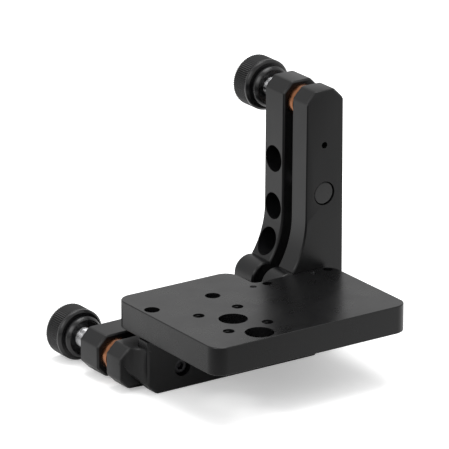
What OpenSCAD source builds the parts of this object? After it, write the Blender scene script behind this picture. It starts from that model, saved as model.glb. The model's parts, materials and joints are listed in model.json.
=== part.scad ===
// Kinematic mount with a horizontal platform. Two L-shaped plates stand face to face around
// one pivot ball. Two fine adjusters in the back plate push on the front plate, and two
// springs pull the plates together. The platform is screwed to the front plate.
// Lengths are in millimetres. The plates are drawn around the pivot ball's X and Z, with
// Y = 0 on the front plate's face, and placed() then moves everything to the part's own
// frame: its origin is the centre of the platform's centre hole, on the top face.

/* [Plates] */
// Distance from the pivot to each adjuster's axis
lever = 63.5; // [55:0.5:80]
// Metal beyond the adjuster's axis at the end of each arm
end_margin = 5.9; // [5.5:0.1:10]
// Width of each arm at its root
arm_w = 12.7; // [12:0.1:18]
// How much narrower each arm is at its end
arm_taper = 0.35; // [0:0.05:0.6]
// 45 degree chamfer on the corners of the arms
corner_chamfer = 3; // [1:0.1:4]
// Thickness of the front plate
front_t = 7.4; // [6.5:0.1:10]
// Thickness of the back plate
back_t = 9.4; // [9:0.1:13]
// Gap between the plates
plate_gap = 4.2; // [3.8:0.1:5]
// Radius of the long curve where each arm widens towards the corner
root_r = 26; // [18:0.5:34]
// Distance from the pivot at which that curve starts
root_start = 31.5; // [28:0.5:36]
// Distance of the corner lobe's centre from the pivot, along X and along Z
lobe_at = 12; // [11:0.1:13]
// Radius of the corner lobe
lobe_r = 4.9; // [4.5:0.1:5.2]

/* [Platform] */
// Width of the platform along X
platform_w = 65.4; // [58:0.1:80]
// How far the platform reaches in front of the plates
platform_front = 38.3; // [34:0.1:48]
// How far its left part reaches back over the plates
platform_back = 12.2; // [10:0.1:15]
// Width of that left part
platform_back_w = 38.8; // [35:0.1:43]
// Thickness of the platform
platform_t = 8.2; // [5.5:0.1:12]
// Distance of the platform's right edge past the pivot
platform_right = 2.4; // [1:0.1:5]
// Air between the arms and the platform
platform_lift = 2; // [1.5:0.1:3]
// Radius of the platform's outer corners
platform_corner_r = 4.3; // [2:0.1:6]
// Radius of the inner corner behind the platform
notch_r = 1.5; // [0.5:0.1:2.5]
// Radius of the large holes
large_hole_r = 4.1; // [3:0.05:5]
// Distance between the two large holes
large_hole_pitch = 12.9; // [11:0.1:16]
// Radius of the four tapped holes
tap_r = 1.65; // [1.2:0.05:2.1]
// Distance between the tapped holes along X
tap_pitch_x = 13; // [11:0.1:16]
// Distance between the tapped holes along Y
tap_pitch_y = 14.8; // [12:0.1:17]
// Radius of the two small tapped holes near the plates
edge_tap_r = 1.4; // [1:0.05:1.6]
// Radius of the dowel pins that locate the platform
dowel_r = 1; // [0.75:0.05:1.2]

/* [Block] */
// How far the block stands out in front of the front plate
block_t = 5.3; // [5:0.1:9]
// Distance from the arm's left end to the block's left face
block_inset = 5.9; // [3.4:0.1:8]
// How far the block reaches below the arms
block_drop = 1.15; // [0:0.05:2]
// Radius of the fillet between the arm and the block
block_fillet_r = 4.7; // [1.5:0.1:5]
// Distance of the block's bottom right corner from the pivot
block_foot = 6.7; // [6:0.1:14]

/* [Adjusters] */
// Radius of the adjuster's thread
screw_r = 3.175; // [2.5:0.025:3.6]
// Radial running clearance of the thread in its bushing
thread_gap = 0.05; // [0.02:0.01:0.1]
// Radius of the bushing where it is pressed into the back plate
bushing_r = 4.6; // [4.2:0.05:5]
// Radius of the bushing's flange
flange_r = 4.8; // [4.7:0.05:5.3]
// How far the bushing's flange stands out into the gap between the plates
flange_t = 2.6; // [0.6:0.1:2.8]
// Radius of the knob's knurl
knob_r = 7.5; // [6:0.1:8.5]
// Length of the whole knob
knob_len = 9.9; // [8.5:0.1:14]
// Length of the knob's collar
collar_len = 2.4; // [1.8:0.1:3]
// Radius of the knob's collar
collar_r = 6; // [5.2:0.1:6.2]
// Air between the upper knob and the back plate
knob_stand_off = 4.5; // [4.4:0.1:8]
// How much further out the left knob is clamped on its screw
left_knob_extra = 1.4; // [0:0.1:3]
// Radius of the pivot ball and of the two tip balls
ball_r = 2.5; // [2:0.05:2.6]
// Clearance between a ball and the seat that it touches
ball_gap = 0.02; // [0.01:0.01:0.03]

/* [Springs] */
// Distance from the pivot to each spring
spring_at = 38.7; // [36:0.1:42]
// Outer radius of the springs
spring_r = 2.4; // [1.8:0.05:2.5]
// Radial clearance of the springs in their pockets
pocket_gap = 0.4; // [0.3:0.05:0.6]
// Radius of the spring wire
wire_r = 0.35; // [0.25:0.05:0.45]
// Radius of the pins that hold the springs
anchor_r = 0.75; // [0.5:0.05:0.9]
// Radius of the plug over the upper spring's front end
plug_r = 3.5; // [3.3:0.05:3.9]

/* [Mounting holes] */
// Radius of the clearance holes through the back plate's arms
bolt_r = 2.2; // [1.6:0.05:2.4]
// Radius of their counterbores
bolt_head_r = 3.9; // [3.2:0.05:4]
// Metal left under the counterbores
bolt_floor = 7.75; // [6:0.05:9]
// Distance between the holes on either side of a spring
bolt_pitch = 14.2; // [14:0.1:16]
// Distance from there to the hole nearest the corner
inner_bolt_pitch = 10.2; // [9.5:0.1:11]

/* [Hidden] */
$fn = 64;

over = 1;                                   // how far a cut runs past the face it opens
half_w = arm_w / 2;
web_inset = 1.1;                            // web between the arms, inside the lobe's centre
arm_end = lever + end_margin;
back_y = front_t + plate_gap;
rear_y = back_y + back_t;

// Seats and balls
ball_y = front_t + 1.9;                     // centre of all three balls
seat_r = 3.5;
seat_t = 3;
flat_seat_y = ball_y - ball_r - ball_gap;   // face of the flat seat
groove_tilt = 30;                           // slope of the groove's sides
groove_y = front_t - 0.1;                   // face of the grooved seat
cone_front_y = front_t + 0.5;               // face of the front cone seat
cone_rear_y = back_y - 0.8;                 // face of the rear cone seat
cone_seat_r = 3.2;
nose_gap = 1.1;                             // screw's end behind the ball's centre

// Adjusters
bushing_r_in = screw_r + thread_gap;
bushing_inset = 0.4;                        // bushing's rear end below the plate's face
nose_len = 1;
nose_r = screw_r - 0.425;
knob_front = rear_y + knob_stand_off;
knob_rim_chamfer = 0.7;
knob_edge = 0.4;
knob_groove = 0.35;                         // width of the groove between collar and rim
knob_groove_depth = 0.2;
collar_edge = 0.7;                          // bevel of the collar's front edge, radially
collar_edge_len = 0.9;
recess_r = collar_r - 1.2;
recess_depth = 0.5;
screw_inset = 1.2;                          // screw's end below the knob's rear face
hex_af = 2;                                 // all keys but the set screws'
hex_depth = 3;
set_screw_r = 1;
set_screw_len = 3;
set_screw_af = 0.9;
set_screw_key_depth = 1;
set_screw_at = 3.9;                         // from the knob's front to the set screw's axis

// Platform
platform_z = half_w + platform_lift;
platform_top = platform_z + platform_t;
platform_left = platform_right - platform_w;
hole_x = -45.2;                             // both large holes
hole_y = -20.5;                             // the centre hole
screw_hole_r = 2.2;
screw_head_r = 2.1;
screw_head_t = 2.2;
screw_sink = 3;                             // heads below the platform's top
screw_shank_r = 1.25;
screw_reach = 5;                            // shank's length in the block
key_depth_share = 0.6;                      // hex sockets of the cap screws, as a share of the head
edge_y = -2.3;                              // pins and small taps
platform_screw_y = -1.9;
platform_screws_x = [-59.9, -39.5];
dowels_x = [-26, -5.5];
edge_taps_x = [-21.2, -0.2];
dowel_reach = 4;
edge_tap_reach = 3;

// Block and its cap screw
block_left = -arm_end + block_inset;
block_right = platform_right - 0.4;
block_bottom = -half_w - block_drop;
block_screw_x = -52;
block_screw_z = -1.15;
block_head_r = 2.1;
block_head_t = 2.2;
block_bore_r = 2.6;
block_bore_depth = 3.2;
block_shank_r = 1.25;
block_shank_len = 7;
fillet_root = 0.5;                          // the fillet's overlap with the metal it joins

// Springs
pocket_r = spring_r + pocket_gap;
plug_recess = 0.3;
plug_bore = 3.4;                            // depth of the plug's counterbore
plug_edge = 0.35;
front_anchor_y = plug_bore - anchor_r;
rear_anchor_y = rear_y - 1.15;
rear_slot_len = 9;
left_pocket_y = 1;                          // bottom of the left spring's front pocket
left_pin_floor = 2;                         // metal over the left spring's front pin
pin_inset = 0.3;                            // front pins' ends inside their holes
hook_y = 5.6;                               // front end of both springs
front_lead = 1.6;                           // straight wire in front of the coils
rear_lead = 2.4;                            // and behind them
coil_front_y = hook_y + front_lead;
coil_rear_y = rear_anchor_y - anchor_r - rear_lead;
hook_r = anchor_r + wire_r + 0.02;
lead_r = wire_r - 0.05;                     // straight wire at each end of a spring
sight_hole_r = 0.95;
sight_hole_z = 53.1;
sight_hole_depth = 5;

// Centres of the holes through the back plate's arms, measured from the pivot
bolt_places = [spring_at + bolt_pitch / 2, spring_at - bolt_pitch / 2,
               spring_at - bolt_pitch / 2 - inner_bolt_pitch];

// ---- helpers ----

// Moves a piece from the pivot's frame to the part's own frame.
module placed() {
    translate([-hole_x, -hole_y, -platform_top]) children();
}

// A cylinder along +Y that starts at a point.
module rod_y(at, r, len) {
    translate(at) rotate([-90, 0, 0]) cylinder(r = r, h = len);
}

// A cone along +Y that starts at a point.
module cone_y(at, r1, r2, len) {
    translate(at) rotate([-90, 0, 0]) cylinder(r1 = r1, r2 = r2, h = len);
}

// A flat outline in X and Z, made solid from y to y + t.
module slab_y(y, t) {
    translate([0, y + t, 0]) rotate([90, 0, 0]) linear_extrude(t) children();
}

// Turns what is drawn for the upright arm into its twin on the lying arm.
module lying() {
    mirror([1, 0, 1]) children();
}

// ---- the plates' outline ----

// Each arm's long curve is cut only on its own side of the corner's diagonal.
module plate_outline() {
    web = lobe_at - web_inset;
    difference() {
        polygon([[half_w, -half_w + corner_chamfer],
                 [half_w, arm_end - corner_chamfer],
                 [half_w - corner_chamfer, arm_end],
                 [-half_w + arm_taper + corner_chamfer, arm_end],
                 [-half_w + arm_taper, arm_end - corner_chamfer],
                 [-half_w, root_start],
                 [-web, root_start],
                 [-web, web],
                 [-root_start, web],
                 [-root_start, half_w],
                 [-arm_end + corner_chamfer, half_w - arm_taper],
                 [-arm_end, half_w - arm_taper - corner_chamfer],
                 [-arm_end, -half_w + corner_chamfer],
                 [-arm_end + corner_chamfer, -half_w],
                 [half_w - corner_chamfer, -half_w]]);
        intersection() {
            translate([-half_w - root_r, root_start]) circle(r = root_r, $fn = 128);
            polygon([[0, 0], [0, arm_end], [-arm_end, arm_end]]);
        }
        intersection() {
            translate([-root_start, half_w + root_r]) circle(r = root_r, $fn = 128);
            polygon([[0, 0], [-arm_end, 0], [-arm_end, arm_end]]);
        }
    }
    translate([-lobe_at, lobe_at]) circle(r = lobe_r);
}

// ---- the plates ----

// A spring's pocket and the slot for its rear pin, through the back plate's upright arm.
module rear_spring_cuts() {
    rod_y([0, back_y - over, spring_at], pocket_r, back_t + 2 * over);
    translate([-rear_slot_len / 2 - anchor_r, rear_anchor_y - anchor_r, spring_at - anchor_r])
        cube([rear_slot_len + 2 * anchor_r, back_t, 2 * anchor_r]);
}

// The counterbored holes across the back plate's upright arm.
module bolt_cuts() {
    y = back_y + back_t / 2;
    floor_x = half_w - bolt_floor;
    for (z = bolt_places) {
        translate([floor_x - over, y, z]) rotate([0, 90, 0])
            cylinder(r = bolt_r, h = bolt_floor + 2 * over);
        translate([-2 * arm_w, y, z]) rotate([0, 90, 0])
            cylinder(r = bolt_head_r, h = 2 * arm_w + floor_x);
    }
}

module back_plate() {
    color([0.12, 0.12, 0.12]) difference() {
        slab_y(back_y, back_t) plate_outline();
        rod_y([0, back_y - over, lever], bushing_r, back_t + 2 * over);
        rod_y([-lever, back_y - over, 0], bushing_r, back_t + 2 * over);
        rod_y([0, back_y - over, 0], cone_seat_r, over + cone_rear_y + seat_t - back_y);
        rear_spring_cuts();
        lying() rear_spring_cuts();
        bolt_cuts();
        lying() bolt_cuts();
    }
}

// The block's outline in X and Z: chamfered below on the left, sloping up on the right.
module block_outline() {
    polygon([[block_left, platform_z],
             [block_left, block_bottom + corner_chamfer],
             [block_left + corner_chamfer, block_bottom],
             [-block_foot, block_bottom],
             [block_right, block_bottom + block_right + block_foot],
             [block_right, platform_z]]);
}

// The fillet's section: a square that reaches a little into the metal on both sides of the
// corner at the origin, less a circle.
module fillet_section() {
    difference() {
        translate([-block_fillet_r, -block_fillet_r]) square(block_fillet_r + fillet_root);
        translate([-block_fillet_r, -block_fillet_r]) circle(r = block_fillet_r);
    }
}

// The upright fillet between the arm's front face and the block's left face. The block's
// lower chamfer cuts it off along the same slope.
module block_fillet() {
    bend_z = block_bottom + corner_chamfer;
    intersection() {
        slab_y(-block_fillet_r, block_fillet_r + fillet_root) intersection() {
            plate_outline();
            polygon([[block_left - block_fillet_r, bend_z + block_fillet_r],
                     [block_left + fillet_root, bend_z - fillet_root],
                     [block_left + fillet_root, half_w],
                     [block_left - block_fillet_r, half_w]]);
        }
        translate([block_left, 0, -half_w]) linear_extrude(arm_w) fillet_section();
    }
}

module front_plate_cuts() {
    seat_bottom = flat_seat_y - seat_t;
    rod_y([-lever, seat_bottom, 0], seat_r, front_t);
    rod_y([0, groove_y - seat_t, lever], seat_r, front_t);
    rod_y([0, cone_front_y - seat_t, 0], cone_seat_r, front_t);
    rod_y([0, -over, spring_at], plug_r, over + plug_bore);
    rod_y([0, 0, spring_at], pocket_r, front_t + over);
    rod_y([-spring_at, left_pocket_y, 0], pocket_r, front_t);
    translate([-spring_at, front_anchor_y, -half_w - over])
        cylinder(r = anchor_r, h = arm_w - left_pin_floor + over);
    rod_y([0, -over, sight_hole_z], sight_hole_r, over + sight_hole_depth);
    rod_y([block_screw_x, -block_t - over, block_screw_z], block_bore_r, over + block_bore_depth);
    rod_y([block_screw_x, -block_t, block_screw_z], block_shank_r, block_bore_depth + block_shank_len);
    for (x = platform_screws_x)
        translate([x, platform_screw_y, platform_z - screw_reach])
            cylinder(r = screw_shank_r, h = screw_reach + over);
    for (x = dowels_x)
        translate([x, edge_y, platform_z - dowel_reach]) cylinder(r = dowel_r, h = dowel_reach + over);
    for (x = edge_taps_x)
        translate([x, edge_y, platform_z - edge_tap_reach])
            cylinder(r = edge_tap_r, h = edge_tap_reach + over);
}

module front_plate() {
    color([0.12, 0.12, 0.12]) difference() {
        union() {
            slab_y(0, front_t) plate_outline();
            slab_y(-block_t, block_t) block_outline();
            block_fillet();
        }
        front_plate_cuts();
    }
}

// ---- the platform ----

// A rectangle with rounded corners, from its lower left corner to its upper right one.
module round_rect(low, high, r) {
    x0 = low[0] + r;
    x1 = high[0] - r;
    y0 = low[1] + r;
    y1 = high[1] - r;
    for (x = [x0, x1], y = [y0, y1]) translate([x, y]) circle(r = r);
    translate([low[0], y0]) square([high[0] - low[0], y1 - y0]);
    translate([x0, low[1]]) square([x1 - x0, high[1] - low[1]]);
}

module platform_outline() {
    step_x = platform_left + platform_back_w;
    round_rect([platform_left, -platform_front], [platform_right, 0], platform_corner_r);
    round_rect([platform_left, -platform_front], [step_x, platform_back], platform_corner_r);
    difference() {
        translate([step_x - over, -over]) square([notch_r + over, notch_r + over]);
        translate([step_x + notch_r, notch_r]) circle(r = notch_r);
    }
}

module platform() {
    color([0.14, 0.14, 0.14]) difference() {
        translate([0, 0, platform_z]) linear_extrude(platform_t) platform_outline();
        translate([hole_x, hole_y, platform_z - over]) {
            cylinder(r = large_hole_r, h = platform_t + 2 * over);
            translate([0, -large_hole_pitch, 0]) cylinder(r = large_hole_r, h = platform_t + 2 * over);
            for (x = [-tap_pitch_x / 2, tap_pitch_x / 2], y = [-tap_pitch_y / 2, tap_pitch_y / 2])
                translate([x, y, 0]) cylinder(r = tap_r, h = platform_t + 2 * over);
        }
        for (x = platform_screws_x) translate([x, platform_screw_y, 0]) {
            translate([0, 0, platform_top - screw_sink - screw_head_t])
                cylinder(r = screw_hole_r, h = screw_sink + screw_head_t + over);
            translate([0, 0, platform_z - over]) cylinder(r = screw_shank_r, h = platform_t);
        }
        for (x = dowels_x) translate([x, edge_y, platform_z - over])
            cylinder(r = dowel_r, h = platform_t + 2 * over);
        for (x = edge_taps_x) translate([x, edge_y, platform_z - over])
            cylinder(r = edge_tap_r, h = platform_t + 2 * over);
    }
}

// ---- fasteners ----

// A cap screw with its head's top at the origin and its shank along -Z.
module cap_screw(head_r, head_t, shank_r, shank_len, key) {
    difference() {
        union() {
            translate([0, 0, -head_t]) cylinder(r = head_r, h = head_t);
            translate([0, 0, -head_t - shank_len]) cylinder(r = shank_r, h = shank_len + 0.1);
        }
        translate([0, 0, -head_t * key_depth_share])
            cylinder(d = key / cos(30), h = head_t, $fn = 6);
    }
}

module platform_screws() {
    shank = platform_t - screw_sink - screw_head_t + screw_reach;
    color([0.2, 0.2, 0.2]) for (x = platform_screws_x)
        translate([x, platform_screw_y, platform_top - screw_sink])
            cap_screw(screw_head_r, screw_head_t, screw_shank_r, shank, hex_af);
}

module dowel_pins() {
    color([0.75, 0.75, 0.77]) for (x = dowels_x)
        translate([x, edge_y, platform_z - dowel_reach])
            cylinder(r = dowel_r, h = dowel_reach + platform_t - 0.4);
}

module block_screw() {
    head_y = -block_t + block_bore_depth - block_head_t;
    color([0.2, 0.2, 0.2]) translate([block_screw_x, head_y, block_screw_z]) rotate([90, 0, 0])
        cap_screw(block_head_r, block_head_t, block_shank_r, block_shank_len, hex_af);
}

// ---- pivot and seats ----

module ball(at) {
    translate(at) sphere(r = ball_r, $fn = 64);
}

module pivot_ball() {
    color([0.8, 0.8, 0.82]) ball([0, ball_y, 0]);
}

// A cone that a ball at the origin would touch with its clearance, opening along +Y.
module ball_cone() {
    apex = (ball_r + ball_gap) * sqrt(2);
    cone_y([0, -apex, 0], 0, 2 * apex, 2 * apex);
}

module pivot_seat_front() {
    color([0.6, 0.6, 0.62]) difference() {
        rod_y([0, cone_front_y - seat_t, 0], cone_seat_r, seat_t);
        translate([0, ball_y, 0]) ball_cone();
    }
}

module pivot_seat_rear() {
    color([0.6, 0.6, 0.62]) difference() {
        rod_y([0, cone_rear_y, 0], cone_seat_r, seat_t);
        translate([0, ball_y, 0]) mirror([0, 1, 0]) ball_cone();
    }
}

// The upper seat: a shallow groove that points at the pivot.
module groove_seat() {
    depth = (ball_r + ball_gap) / cos(groove_tilt);
    reach = 2 * seat_r;
    color([0.6, 0.6, 0.62]) difference() {
        rod_y([0, groove_y - seat_t, lever], seat_r, seat_t);
        translate([0, ball_y - depth, lever - reach]) linear_extrude(2 * reach)
            polygon([[0, 0], [reach, reach * tan(groove_tilt)], [-reach, reach * tan(groove_tilt)]]);
    }
}

module flat_seat() {
    color([0.6, 0.6, 0.62]) rod_y([-lever, flat_seat_y - seat_t, 0], seat_r, seat_t);
}

// ---- adjusters ----

// A bushing with its bore on the Y axis.
module bushing() {
    difference() {
        union() {
            rod_y([0, back_y - flange_t, 0], flange_r, flange_t);
            rod_y([0, back_y - over / 2, 0], bushing_r, back_t - bushing_inset + over / 2);
        }
        rod_y([0, 0, 0], bushing_r_in, rear_y + over);
    }
}

module upper_bushing() {
    color([0.55, 0.32, 0.14]) translate([0, 0, lever]) bushing();
}

module left_bushing() {
    color([0.55, 0.32, 0.14]) translate([-lever, 0, 0]) bushing();
}

// An adjuster screw on the Y axis, with a hollow at its nose for the tip ball.
module adjuster_screw(extra) {
    nose_y = ball_y + nose_gap;
    end_y = knob_front + extra + knob_len - screw_inset;
    difference() {
        union() {
            cone_y([0, nose_y, 0], nose_r, screw_r, nose_len);
            rod_y([0, nose_y + nose_len, 0], screw_r, end_y - nose_y - nose_len);
        }
        translate([0, ball_y, 0]) sphere(r = ball_r + ball_gap, $fn = 64);
        translate([0, end_y - hex_depth, 0]) rotate([-90, 0, 0])
            cylinder(d = hex_af / cos(30), h = hex_depth + over, $fn = 6);
    }
}

module upper_screw() {
    color([0.75, 0.75, 0.77]) translate([0, 0, lever]) adjuster_screw(0);
}

module left_screw() {
    color([0.75, 0.75, 0.77]) translate([-lever, 0, 0]) adjuster_screw(left_knob_extra);
}

// Half of a knob's section: radius along X and distance from the knob's front along Y.
module knob_section() {
    rim = collar_len + knob_rim_chamfer;
    polygon([[screw_r, recess_depth], [recess_r, recess_depth], [recess_r, 0],
             [collar_r - collar_edge, 0], [collar_r, collar_edge_len],
             [collar_r, collar_len - knob_groove],
             [collar_r - knob_groove_depth, collar_len - knob_groove],
             [collar_r - knob_groove_depth, collar_len],
             [knob_r - knob_rim_chamfer, collar_len], [knob_r, rim],
             [knob_r, knob_len - knob_edge], [knob_r - knob_edge, knob_len], [screw_r, knob_len]]);
}

// A knob on the Y axis, clamped by a set screw on its side away from the block.
module knob(extra) {
    front = knob_front + extra;
    difference() {
        translate([0, front, 0]) rotate([-90, 0, 0]) rotate_extrude() knob_section();
        translate([0, front + set_screw_at, 0]) rotate([0, 90, 0]) cylinder(r = set_screw_r, h = 2 * knob_r);
    }
}

module set_screw(extra) {
    translate([screw_r, knob_front + extra + set_screw_at, 0]) rotate([0, 90, 0]) difference() {
        cylinder(r = set_screw_r, h = set_screw_len);
        translate([0, 0, set_screw_len - set_screw_key_depth])
            cylinder(d = set_screw_af / cos(30), h = set_screw_key_depth + over, $fn = 6);
    }
}

module upper_knob() {
    color([0.1, 0.1, 0.1]) translate([0, 0, lever]) knob(0);
}

module left_knob() {
    color([0.1, 0.1, 0.1]) translate([-lever, 0, 0]) knob(left_knob_extra);
}

module upper_set_screw() {
    color([0.3, 0.3, 0.3]) translate([0, 0, lever]) set_screw(0);
}

module left_set_screw() {
    color([0.3, 0.3, 0.3]) translate([-lever, 0, 0]) set_screw(left_knob_extra);
}

module upper_tip_ball() {
    color([0.8, 0.8, 0.82]) ball([0, ball_y, lever]);
}

module left_tip_ball() {
    color([0.8, 0.8, 0.82]) ball([-lever, ball_y, 0]);
}

// ---- springs ----

// One spring of the upright arm: a closed coil as a sleeve, with a straight wire to a ring
// around the rear pin, and a short hook in front that leaves room for the plates to close.
module spring() {
    mid_r = spring_r - wire_r;
    translate([0, 0, spring_at]) {
        difference() {
            rod_y([0, coil_front_y, 0], spring_r, coil_rear_y - coil_front_y);
            rod_y([0, coil_front_y - over, 0], spring_r - 2 * wire_r,
                  coil_rear_y - coil_front_y + 2 * over);
        }
        translate([0, coil_rear_y, 0]) spring_bridge(mid_r);
        rod_y([0, coil_rear_y, 0], lead_r, rear_anchor_y - hook_r - coil_rear_y);
        translate([0, rear_anchor_y, 0]) rotate([0, 90, 0]) rotate_extrude()
            translate([hook_r, 0]) circle(r = wire_r, $fn = 16);
        translate([0, coil_front_y, 0]) spring_bridge(mid_r);
        rod_y([0, hook_y, 0], lead_r, coil_front_y - hook_y);
    }
}

// The wire across the end of a coil.
module spring_bridge(r) {
    translate([0, 0, -r]) cylinder(r = wire_r, h = 2 * r);
}

module upper_spring() {
    color([0.7, 0.7, 0.72]) spring();
}

module left_spring() {
    color([0.7, 0.7, 0.72]) lying() spring();
}

module rear_spring_pin() {
    translate([-rear_slot_len / 2, rear_anchor_y, spring_at]) rotate([0, 90, 0])
        cylinder(r = anchor_r, h = rear_slot_len);
}

module rear_spring_pins() {
    color([0.75, 0.75, 0.77]) {
        rear_spring_pin();
        lying() rear_spring_pin();
    }
}

module upper_spring_pin() {
    len = 2 * (plug_r - pin_inset);
    color([0.75, 0.75, 0.77]) translate([-len / 2, front_anchor_y, spring_at]) rotate([0, 90, 0])
        cylinder(r = anchor_r, h = len);
}

module left_spring_pin() {
    color([0.75, 0.75, 0.77]) translate([-spring_at, front_anchor_y, -half_w + pin_inset])
        cylinder(r = anchor_r, h = arm_w - left_pin_floor - pin_inset);
}

module spring_plug() {
    plug_t = front_anchor_y - anchor_r - plug_recess;
    color([0.1, 0.1, 0.1]) {
        cone_y([0, plug_recess, spring_at], plug_r - plug_edge, plug_r, plug_edge);
        rod_y([0, plug_recess + plug_edge, spring_at], plug_r, plug_t - plug_edge);
    }
}

placed() back_plate();
placed() front_plate();
placed() platform();
placed() platform_screws();
placed() dowel_pins();
placed() block_screw();
placed() pivot_ball();
placed() pivot_seat_front();
placed() pivot_seat_rear();
placed() groove_seat();
placed() flat_seat();
placed() upper_bushing();
placed() left_bushing();
placed() upper_screw();
placed() left_screw();
placed() upper_knob();
placed() left_knob();
placed() upper_set_screw();
placed() left_set_screw();
placed() upper_tip_ball();
placed() left_tip_ball();
placed() upper_spring();
placed() left_spring();
placed() rear_spring_pins();
placed() upper_spring_pin();
placed() left_spring_pin();
placed() spring_plug();
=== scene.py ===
"""Looks of a kinematic mount with a horizontal platform.

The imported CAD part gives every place. The plates and the platform are bevelled copies of their
CAD solids. The turned parts, threads, knurls and springs are built here around the same axes.
All lengths are in metres, and sizes are written as a number of millimetres times MM.
"""

from __future__ import annotations

import json
import logging
import math
from collections.abc import Sequence
from dataclasses import dataclass, field
from enum import Enum
from functools import cache

import bmesh
import bpy
from mathutils import Matrix, Vector

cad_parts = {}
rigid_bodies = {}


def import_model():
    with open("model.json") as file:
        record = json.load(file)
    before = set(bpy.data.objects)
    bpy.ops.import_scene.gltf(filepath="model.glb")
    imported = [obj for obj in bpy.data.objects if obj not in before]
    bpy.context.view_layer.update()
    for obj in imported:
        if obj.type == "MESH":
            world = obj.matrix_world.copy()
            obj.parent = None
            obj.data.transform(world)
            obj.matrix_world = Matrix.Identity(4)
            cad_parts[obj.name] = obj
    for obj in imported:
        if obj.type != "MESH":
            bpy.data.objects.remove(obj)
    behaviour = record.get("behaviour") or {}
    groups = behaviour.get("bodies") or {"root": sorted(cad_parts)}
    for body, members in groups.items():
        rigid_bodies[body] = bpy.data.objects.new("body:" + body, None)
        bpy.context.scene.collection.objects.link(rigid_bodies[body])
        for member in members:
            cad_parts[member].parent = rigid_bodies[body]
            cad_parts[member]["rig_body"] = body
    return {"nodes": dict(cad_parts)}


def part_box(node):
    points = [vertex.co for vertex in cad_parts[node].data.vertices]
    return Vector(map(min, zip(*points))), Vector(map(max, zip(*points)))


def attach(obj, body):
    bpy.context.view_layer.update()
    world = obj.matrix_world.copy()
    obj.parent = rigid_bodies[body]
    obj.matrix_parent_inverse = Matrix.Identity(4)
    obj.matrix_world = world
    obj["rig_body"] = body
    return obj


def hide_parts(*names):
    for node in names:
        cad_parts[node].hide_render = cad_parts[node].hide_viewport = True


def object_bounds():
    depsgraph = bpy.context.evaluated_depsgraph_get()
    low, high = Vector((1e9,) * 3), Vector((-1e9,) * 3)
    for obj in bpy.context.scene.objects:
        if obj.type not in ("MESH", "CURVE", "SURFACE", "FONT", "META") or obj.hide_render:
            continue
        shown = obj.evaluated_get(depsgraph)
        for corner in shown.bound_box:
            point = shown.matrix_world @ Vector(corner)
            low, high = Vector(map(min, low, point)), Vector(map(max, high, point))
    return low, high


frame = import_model()
CAD_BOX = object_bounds()

LOG = logging.getLogger("mount")
MM = 0.001
DEFAULT_GRAIN = 0.2 * MM
NOISE_LOW, NOISE_HIGH = 0.3, 0.7
Colour = tuple[float, float, float]


# ---------------------------------------------------------------- node trees


class Graph:
    """A node tree with short calls to add and join its nodes."""

    def __init__(self, tree: bpy.types.NodeTree) -> None:
        """Keeps the tree.

        Args:
            tree: The tree that the calls add to.
        """
        self.tree = tree

    def add(
        self, kind: str, values: dict[str, object] | None = None, **settings: object
    ) -> bpy.types.Node:
        """Adds a node.

        Args:
            kind: Blender's identifier of the node.
            values: What each named input is set to, or the socket that feeds it.
            **settings: The node's own properties.

        Returns:
            The new node.
        """
        node = self.tree.nodes.new(kind)
        for key, value in settings.items():
            setattr(node, key, value)
        for name, value in (values or {}).items():
            self.feed(node.inputs[name], value)
        return node

    def feed(self, socket: bpy.types.NodeSocket, value: object) -> None:
        """Sets an input to a value, or joins another node's output to it.

        Args:
            socket: The input.
            value: A socket to link from, or the value to set.
        """
        if isinstance(value, bpy.types.NodeSocket):
            self.tree.links.new(value, socket)
        else:
            socket.default_value = value

    def math(self, operation: str, first: object, second: object = 0.0) -> bpy.types.NodeSocket:
        """Adds a math node.

        Args:
            operation: Blender's name of the operation.
            first: The first number or socket.
            second: The second number or socket.

        Returns:
            The node's result.
        """
        node = self.add("ShaderNodeMath", operation=operation)
        self.feed(node.inputs[0], first)
        self.feed(node.inputs[1], second)
        return node.outputs[0]


def new_group(
    name: str, kind: str, inputs: Sequence[tuple], outputs: Sequence[tuple]
) -> Graph:
    """Makes an empty node group with its named sockets.

    Args:
        name: The group's name.
        kind: ShaderNodeTree or GeometryNodeTree.
        inputs: Name, socket type and default value of each input.
        outputs: Name and socket type of each output.

    Returns:
        The graph of the group, whose group nodes are named Input and Output.
    """
    tree = bpy.data.node_groups.new(name, kind)
    for title, socket_type, default in inputs:
        socket = tree.interface.new_socket(title, in_out="INPUT", socket_type=socket_type)
        if default is not None:
            socket.default_value = default
    for title, socket_type in outputs:
        tree.interface.new_socket(title, in_out="OUTPUT", socket_type=socket_type)
    tree.nodes.new("NodeGroupInput").name = "Input"
    tree.nodes.new("NodeGroupOutput").name = "Output"
    return Graph(tree)


def run_tree(
    tree: bpy.types.NodeTree, start: bpy.types.Object, values: dict[str, object]
) -> bpy.types.Mesh:
    """Runs a geometry tree on an object and bakes the result.

    Args:
        tree: The geometry tree.
        start: The object it starts from, which is removed afterwards.
        values: What each named input is set to.

    Returns:
        The plain mesh that the tree makes.
    """
    modifier = start.modifiers.new("Build", "NODES")
    modifier.node_group = tree
    for item in tree.interface.items_tree:
        if item.in_out == "INPUT" and item.name in values:
            modifier[item.identifier] = values[item.name]
    start.update_tag()
    mesh = baked_mesh(start)
    start.modifiers.remove(modifier)
    bpy.data.objects.remove(start)
    return mesh


# ---------------------------------------------------------------- finishes


class Surface(Enum):
    """How a surface was worked: its relief's name and the size of its patches."""

    BLASTED = ("Blasted Grain", 9 * MM)
    TURNED = ("Turned Rings", 3 * MM)


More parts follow.
